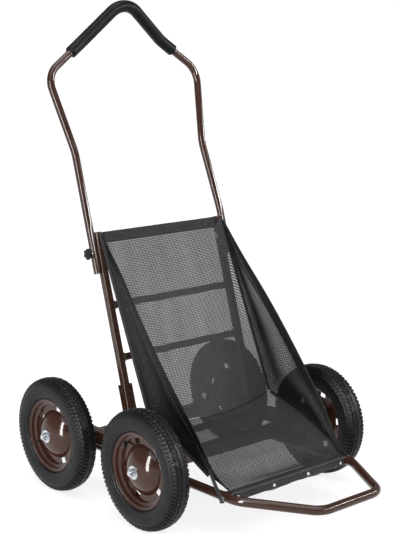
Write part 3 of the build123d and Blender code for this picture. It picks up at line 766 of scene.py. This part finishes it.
# Top hem: the back sheet's end, wrapped over the crossbar and sewn down behind.
LADDER_UP = Vector((0, LADDER_SLOPE, 1)).normalized()
LADDER_BACK = Vector((0, 1, -LADDER_SLOPE)).normalized()
HEM_WRAP = [               # round the crossbar from its centre: backwards, up
    (-12.9, -17.5), (-12.3, -13.0), (-11.7, -8.0), (-11.7, 8.0), (-11.0, 10.3), (-9.0, 11.5),
    (0.0, 11.9), (9.0, 11.5), (11.0, 10.3), (11.7, 8.0), (11.7, -8.0), (11.0, -10.3), (9.0, -11.6),
    (0.0, -12.4), (-6.5, -13.4), (-9.6, -15.4), (-10.8, -18.5),
]
HEM_HALF = 213.0
HEM_LOOSE, HEM_PUCKER = 0.35, 1.6   # how far it stands off, and how far its puckers go, mm
PUCKERED_ROWS = 12         # the rest is pulled tight by the seam


def hem_point(i, j):
    """Row i counts round the crossbar, column j across the sling."""
    s = share_across(j)
    back_way, up_way = HEM_WRAP[i]
    pucker = noise.noise(Vector((s * 14, i * 0.5, 0.3))) * HEM_PUCKER
    away = math.hypot(back_way, up_way)
    grow = 1 + (HEM_LOOSE + pucker * 0.5) / away * (1 if i < PUCKERED_ROWS else 0)
    centre = Vector((HEM_HALF * s, bar.y, bar.z))
    return (centre + (LADDER_BACK * back_way + LADDER_UP * up_way) * grow) * MM


hem_rows = cloth_rows(hem_point, len(HEM_WRAP) - 1)
top_hem = cloth_piece("sling_top_hem", hem_rows, row_layout(hem_rows), "mesh_hem")

# Wide double hems along the side panels' free edges, folded round the edge.
HEM_WIDTH = 27.0
HEM_OFFSET = 1.35          # of each layer from the side panel, mm
HEM_STEPS = 6              # across one layer
HEM_COLUMNS = 2 * (HEM_STEPS + 1)
HEM_ROW_PITCH = 8.0        # between rows along the edge in the flat layout, mm


def along(line, distance):
    """The point at a distance along a line."""
    for a, b in zip(line, line[1:]):
        span = (b - a).length
        if distance <= span:
            return a.lerp(b, distance / max(span, 1e-9))
        distance -= span
    return line[-1]


def edge_hem_rows(rows, side):
    """Across the fold: outside layer, the edge itself, inside layer."""
    out = []
    for k, row in enumerate(rows):
        ahead, behind = rows[min(k + 1, len(rows) - 1)], rows[max(k - 1, 0)]
        inward = list(reversed(row))
        tangent = (ahead[-1] - behind[-1]).normalized()
        normal = tangent.cross(inward[1] - inward[0]).normalized()
        if normal.x * side < 0:
            normal = -normal
        width = min(mm(HEM_WIDTH), 0.8 * length_of(row))
        gather = 0.25 * noise.noise(Vector((k * 0.31, side, 0)))
        section = []
        for layer, order in ((1, range(HEM_STEPS, -1, -1)), (-1, range(HEM_STEPS + 1))):
            for m in order:
                lift = HEM_OFFSET * (1 - 0.55 * math.exp(-m * 1.4)) + gather * (m > 0)
                point = along(inward, width * m / HEM_STEPS)
                section.append(point + normal * mm(layer * lift))
        out.append(section)
    return out


# Woven tape binds the seams at the back corners and along the floor's sides.
BINDING_WIDTH, BINDING_THICK = 11.0, 2.6
BINDING_SHIFT = -3.6       # of the tape's middle from the seam, mm
BINDING_OUT = 0.9          # how far outside the seam it lies, mm
BOUND_ROWS = 33            # the floor's side binding ends short of the front bar
EAR_RISE = 6.0             # how far the back's binding reaches above its corner, mm
TAB_WIDTH, TAB_SPREAD, TAB_THICK = 11.5, 6.0, 1.7   # the tab widens towards its bolt, mm
TAB_LINE = [               # from the seam down to the rail: across, y, z
    (229.6, -196, 186), (231.4, -205, 173), (236.0, -232, 142),
    (237.9, -250, 122), (238.0, -256, 112), (237.4, -259, 104),
]


def binding(name, line):
    """A folded tape over a seam; its width lies in the plane of the side panel."""
    steps = len(line) - 1

    def section_at(k, share):
        tuck = min(k, steps - k, 2) / 2
        wobble = 1 + 0.06 * noise.noise(line[k] * 60)
        width = BINDING_WIDTH * wobble * (0.72 + 0.28 * tuck)
        return tape_section(width, BINDING_THICK * (0.6 + 0.4 * tuck), BINDING_SHIFT)

    points, faces, flat = sweep(line, section_at, Vector((1, 0, 0)))
    return make_piece(name, points, faces, "cart", "webbing", flat=flat, sharp=60)


STITCH_PITCH, STITCH_LENGTH, STITCH_R = 4.2, 2.9, 0.34   # mm
STITCH_PROUD = 0.5         # how far an edge stitch stands out of the hem, mm
THREAD_SIDES = 6
# Rings along one stitch: place and thickness, as shares of its length and radius.
STITCH_RINGS = ((-0.5, 0.3), (-0.32, 1.0), (0.32, 1.0), (0.5, 0.3))


def stitches(name, lines):
    """Rows of sewn stitches, each a short raised thread."""
    points, faces = [], []
    for line in lines:
        count = max(int(length_of(line) / mm(STITCH_PITCH)), 1)
        dense = evenly(line, count * 2)
        for k in range(count):
            a, b = dense[2 * k], dense[2 * k + 1]
            run = (b - a).normalized()
            centre = (a + b) / 2
            side = run.cross(Vector((0.3, 0.5, 0.8))).normalized()
            up = run.cross(side)
            first = len(points)
            for place, thick in STITCH_RINGS:
                for m in range(THREAD_SIDES):
                    turn = 2 * math.pi * m / THREAD_SIDES
                    offset = side * math.cos(turn) + up * math.sin(turn)
                    points.append(
                        centre + run * mm(STITCH_LENGTH * place) + offset * mm(STITCH_R * thick)
                    )
            rings = len(STITCH_RINGS)
            last = first + (rings - 1) * THREAD_SIDES
            faces += grid_faces(rings, THREAD_SIDES, wrap_columns=True, first=first)
            faces.append(tuple(first + m for m in reversed(range(THREAD_SIDES))))
            faces.append(tuple(last + m for m in range(THREAD_SIDES)))
    return make_piece(name, points, faces, "cart", "webbing", look="thread")


def hem_stitch_line(hem_cloth, m):
    """A line of stitches just proud of column m of an edge hem."""
    return [
        section[m] + (section[m] - section[-1 - m]).normalized() * mm(STITCH_PROUD)
        for section in hem_cloth[2:-2]
    ]


for name, side in SIDES.items():
    rows = sling[name]
    column = 0 if side < 0 else -1
    hem_cloth = edge_hem_rows(rows, side)
    layout = [
        (m * mm(HEM_WIDTH / HEM_STEPS), k * mm(HEM_ROW_PITCH))
        for k in range(len(rows)) for m in range(HEM_COLUMNS)
    ]
    hem = cloth_piece(f"sling_edge_hem_{name}", hem_cloth, layout, "mesh_hem")
    stitches(
        f"edge_stitches_{name}", [hem_stitch_line(hem_cloth, m) for m in (0, 1, HEM_COLUMNS - 1)]
    )

    seam = [row[column] for row in sling["back"]]
    rise = (seam[0] - seam[1]).normalized()
    seam = [seam[0] + rise * mm(EAR_RISE * share) for share in (1.0, 0.5)] + seam
    out = Vector((side * mm(BINDING_OUT), 0, 0))
    binding(f"seam_binding_{name}", [p + out for p in evenly(seam, 90)])
    floor_seam = [row[column] for row in sling["floor"][:BOUND_ROWS]]
    binding(f"floor_binding_{name}", [p + out for p in evenly(floor_seam, 60)])

    # Tab of tape from the seam down to the rail, held by a bolt.
    points, faces, flat = sweep(
        curve_through([mm(side * x, y, z) for x, y, z in TAB_LINE], 30),
        lambda k, share: tape_section(TAB_WIDTH + TAB_SPREAD * smoothstep(share * 1.3), TAB_THICK),
        Vector((side, 0, 0)),
    )
    make_piece(
        f"strap_tab_{name}", points, faces, "cart", "webbing", flat=flat, sharp=60,
        replaces=[f"strap_{name}"],
    )

# Two rows of stitches along the front edge of the top hem.
hem_front = [p - LADDER_BACK * mm(1.0) for p in hem_rows[0]]
stitches("top_hem_stitches", [hem_front, [p + LADDER_UP * mm(3) for p in hem_front]])

# ----------------------------------------------------------------------------- welds
WELD_R = 1.9               # of a bead's section, mm
WELD_STEP = 0.8            # between the sections of a bead, mm
BEAD_UP = Vector((0.31, 0.22, 0.92))   # any way that no bead runs along
RUNG_HALF = 10.2           # half the outline a bead follows round a rung, mm
RUNG_INSET = 0.6           # how far in from the rung's end it lies, mm
RAIL_X, RAIL_Z = 223.0, 117.0   # the rails' middle, mm
RAIL_R = 12.7              # radius at which beads lie on a rail, mm
BEAM_WELD_X = 241.0        # where a cross tube leaves its side beam, mm
SOCKET_WELD_Z = 125        # height at which a socket's middle is taken, mm
SOCKET_HALF, FRONT_BAR_HALF = 15.6, 12.5   # from their middle to the beads, along the rail
ARC_STEPS = 8


def weld_beads(name, loops):
    """Fillet welds: rippled beads laid along closed or open lines."""
    points, faces = [], []
    for line, closed in loops:
        count = max(int(length_of(line) / mm(WELD_STEP)), 8)
        bead = evenly([*line, line[0]] if closed else line, count)
        if closed:
            bead = bead[:-1]

        def section_at(k, share):
            ripple = 1 + 0.16 * math.sin(k * 1.9) + 0.12 * noise.noise(bead[k] * 300)
            return [(a * ripple, b * ripple) for a, b in circle(mm(WELD_R), 8)]

        made, quads, _ = sweep(bead, section_at, BEAD_UP, closed=closed)
        faces += [tuple(len(points) + i for i in quad) for quad in quads]
        points += made
    return make_piece(name, points, faces, "cart", "frame_paint")


def square_loop(centre, across_way, up_way, half_across, half_up):
    """The four corners round a square tube, half sizes in mm."""
    return [
        centre + across_way * mm(half_across) * a + up_way * mm(half_up) * b
        for a, b in ((1, 1), (-1, 1), (-1, -1), (1, -1))
    ]


def rail_arc(side, y, start, span, mirrored=False):
    """A line part of the way round a rail at y, angles in degrees."""
    arc = []
    for k in range(ARC_STEPS + 1):
        turn = math.radians(start + span * k / ARC_STEPS)
        out = RAIL_R * math.cos(turn) * (side if mirrored else 1)
        arc.append(mm(side * RAIL_X + out, y, RAIL_Z + RAIL_R * math.sin(turn)))
    return arc


ladder_loops = []
for rung in ("top_crossbar", "upper_rung", "lower_rung", "bottom_crossbar"):
    low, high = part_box(rung)
    centre = (low + high) / 2
    for end_x, into in ((low.x, 1), (high.x, -1)):
        place = Vector((end_x + into * mm(RUNG_INSET), centre.y, centre.z))
        outline = square_loop(place, LADDER_BACK, LADDER_UP, RUNG_HALF, RUNG_HALF)
        ladder_loops.append((outline, True))
weld_beads("ladder_welds", ladder_loops)

lower_rung = middle("lower_rung")
socket_y = lower_rung.y / MM - (lower_rung.z / MM - SOCKET_WELD_Z) * LADDER_SLOPE
front_bar_y = middle("front_crossbar").y / MM
beam_loops = []
for side in SIDES.values():
    for tube in ("cross_tube_front", "cross_tube_rear"):
        low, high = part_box(tube)
        centre = (low + high) / 2
        half_y = (high.y - low.y) / 2 / MM
        half_z = (high.z - low.z) / 2 / MM
        place = Vector((side * mm(BEAM_WELD_X), centre.y, centre.z))
        outline = square_loop(place, Vector((0, 1, 0)), Vector((0, 0, 1)), half_y, half_z)
        beam_loops.append((outline, True))
    for edge in (-SOCKET_HALF, SOCKET_HALF):
        beam_loops.append((rail_arc(side, socket_y + edge, 35, 110), False))
    for edge in (-FRONT_BAR_HALF, FRONT_BAR_HALF):
        beam_loops.append((rail_arc(side, front_bar_y + edge, 100, 160, mirrored=True), False))
weld_beads("base_welds", beam_loops)

# -------------------------------------------------------------------- floor and light
FLOOR_HALF = 60.0          # half the floor's side, metres
FLOOR_GREY = 0.32
FLOOR_GLOW = 0.82          # keeps the floor white, and lets a soft shadow show on it
stage_mesh = bpy.data.meshes.new("studio_floor")
stage_mesh.from_pydata(
    [(FLOOR_HALF * a, FLOOR_HALF * b, 0) for a, b in ((-1, -1), (1, -1), (1, 1), (-1, 1))],
    [], [(0, 1, 2, 3)],
)
studio_floor = bpy.data.objects.new("studio_floor", stage_mesh)
bpy.context.scene.collection.objects.link(studio_floor)
floor_look = Look("studio_floor", Roughness=0.9, Emission_Strength=FLOOR_GLOW)
floor_look.shader.inputs["Base Color"].default_value = (FLOOR_GREY, FLOOR_GREY, FLOOR_GREY, 1)
floor_look.shader.inputs["Emission Color"].default_value = (1, 1, 1, 1)
stage_mesh.materials.append(floor_look.material)


def area_light(name, place, aim, width, height, power, gloss_only=False):
    """A rectangular lamp; one that is gloss_only makes highlights and lights nothing else."""
    lamp = bpy.data.lights.new(name, "AREA")
    lamp.shape = "RECTANGLE"
    lamp.size = width
    lamp.size_y = height
    lamp.energy = power
    holder = bpy.data.objects.new(name, lamp)
    holder.location = place
    holder.rotation_euler = (Vector(aim) - Vector(place)).to_track_quat("-Z", "Y").to_euler()
    holder.visible_diffuse = not gloss_only
    bpy.context.scene.collection.objects.link(holder)


cart_middle = (cad_low + cad_high) / 2
area_light("strip_left", (-2.7, -0.5, 1.2), cart_middle, 0.5, 2.8, 130, gloss_only=True)
area_light("strip_front", (2.2, -3.4, 2.5), (0.4, 0.0, 0.4), 6.0, 0.2, 260, gloss_only=True)
area_light("overhead", (0.2, 0.4, 4.2), cart_middle, 2.4, 2.4, 40)

sun = bpy.data.lights.new("soft_sun", "SUN")
sun.energy = 1.5
sun.angle = math.radians(60)
sun.specular_factor = 0.3
sun_holder = bpy.data.objects.new("soft_sun", sun)
sun_holder.rotation_euler = (math.radians(18), math.radians(-14), 0)
bpy.context.scene.collection.objects.link(sun_holder)

# The room: white round the horizon, so that the floor runs into it, and dim overhead.
HORIZON_TOP, DIM_FROM = 0.05, 0.28   # height of the direction: still white, fully dim
WHITE, DIM = 1.02, 0.24
world = bpy.data.worlds.new("studio")
world.use_nodes = True
room = world.node_tree
backdrop = room.nodes["Background"]
direction = room.nodes.new("ShaderNodeTexCoord")
upward = room.nodes.new("ShaderNodeSeparateXYZ")
fade = room.nodes.new("ShaderNodeMapRange")
fade.interpolation_type = "SMOOTHSTEP"
for index, value in ((1, HORIZON_TOP), (2, DIM_FROM), (3, WHITE), (4, DIM)):
    fade.inputs[index].default_value = value
room.links.new(direction.outputs["Generated"], upward.inputs[0])
room.links.new(upward.outputs["Z"], fade.inputs[0])
room.links.new(fade.outputs[0], backdrop.inputs["Strength"])
backdrop.inputs["Color"].default_value = (0.98, 0.99, 1.0, 1)
bpy.context.scene.world = world
bpy.context.scene.view_settings.view_transform = "Standard"

# ---------------------------------------------------------------------------- camera
CAMERA_PLACE = (-2.3723, -2.5825, 1.3413)
CAMERA_AIM = Vector((0.65086, 0.73491, -0.19047))   # the way it looks
camera = bpy.data.cameras.new("camera")
camera.lens = 86.87
camera.sensor_width = 36.0
camera.clip_end = 200.0    # metres, past the floor's corners
camera_holder = bpy.data.objects.new("camera", camera)
camera_holder.location = CAMERA_PLACE
camera_holder.rotation_mode = "QUATERNION"
camera_holder.rotation_quaternion = CAMERA_AIM.to_track_quat("-Z", "Y")
bpy.context.scene.collection.objects.link(camera_holder)
bpy.context.scene.camera = camera_holder
